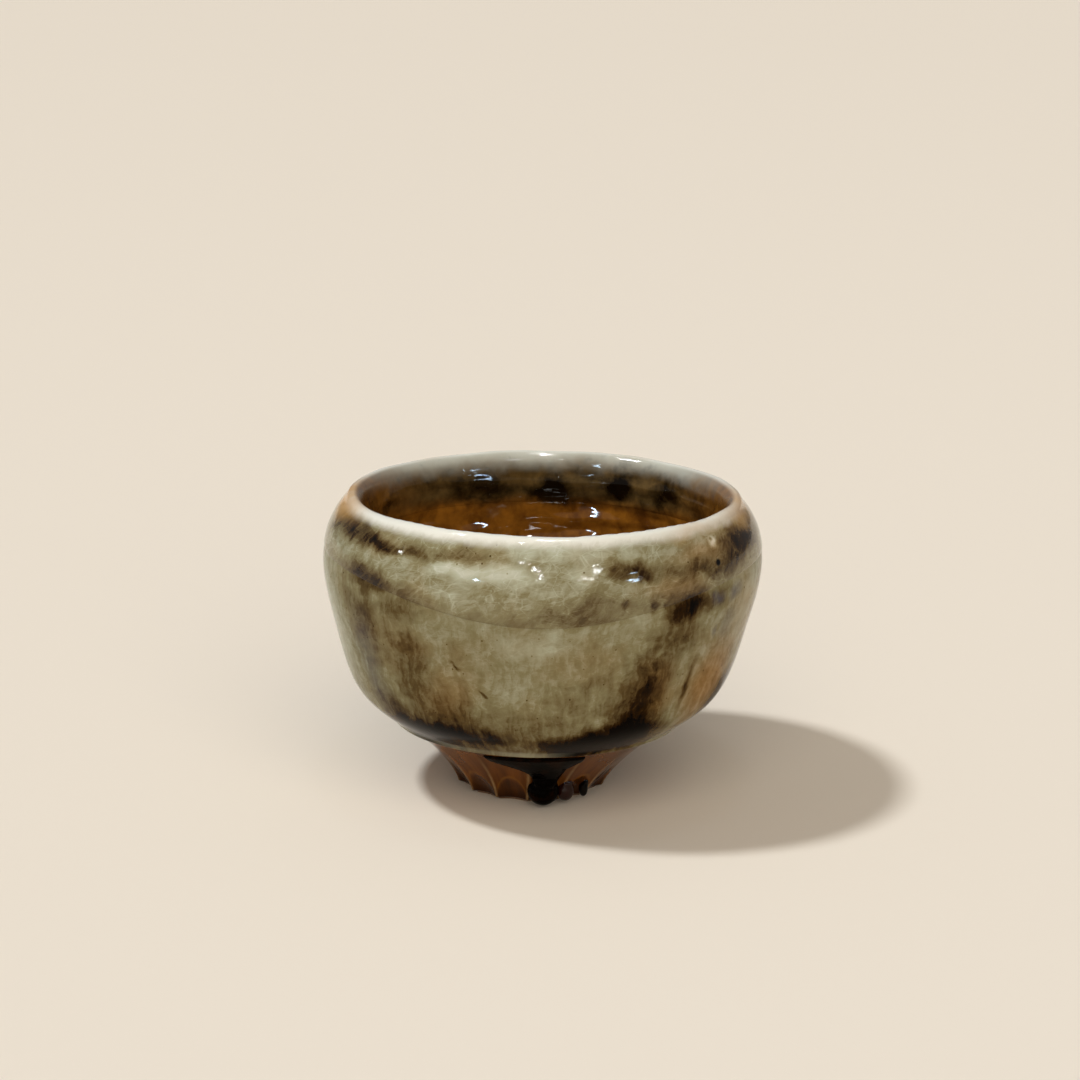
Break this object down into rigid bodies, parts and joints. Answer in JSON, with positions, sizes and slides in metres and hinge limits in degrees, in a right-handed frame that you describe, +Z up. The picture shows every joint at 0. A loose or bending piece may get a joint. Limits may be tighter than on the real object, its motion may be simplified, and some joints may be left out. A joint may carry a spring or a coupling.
{
  "type": "tea cup",
  "caption": "Small rounded stoneware tea cup without a handle, standing on a flared fluted foot, with a dipped crackle glaze that has run into beads on the foot.",
  "frame": {"origin": "on the table under the middle of the cup's widest turn, at the level of the foot's sole", "axes": "+Z up through the mouth, -Y towards the side with the glaze run, +X to the right of that side"},
  "size_m": [0.068, 0.068, 0.0469],
  "materials": {
    "stoneware": "bare fired stoneware",
    "foot_stoneware": "bare fired stoneware, rubbed smooth on the sole",
    "slip": "fired clay slip",
    "ash_glaze": "glossy streaked ash glaze",
    "liner": "glossy amber liner glaze",
    "celadon": "glossy crackled grey-green glaze",
    "iron_wash": "thin glossy iron-brown glaze",
    "run_glaze": "thick black glaze",
    "amber_glaze": "thick red-brown glaze",
    "dark_glaze": "thick black glaze"
  },
  "bodies": {
    "root": {"bowl_wall": "stoneware", "foot_ring": "foot_stoneware", "slip_seam": "slip", "outer_glaze": "ash_glaze", "liner_glaze": "liner", "dip_glaze": "celadon", "foot_glaze": "iron_wash", "glaze_run": "run_glaze", "amber_bead": "amber_glaze", "side_bead": "dark_glaze"}
  },
  "joints": []
}
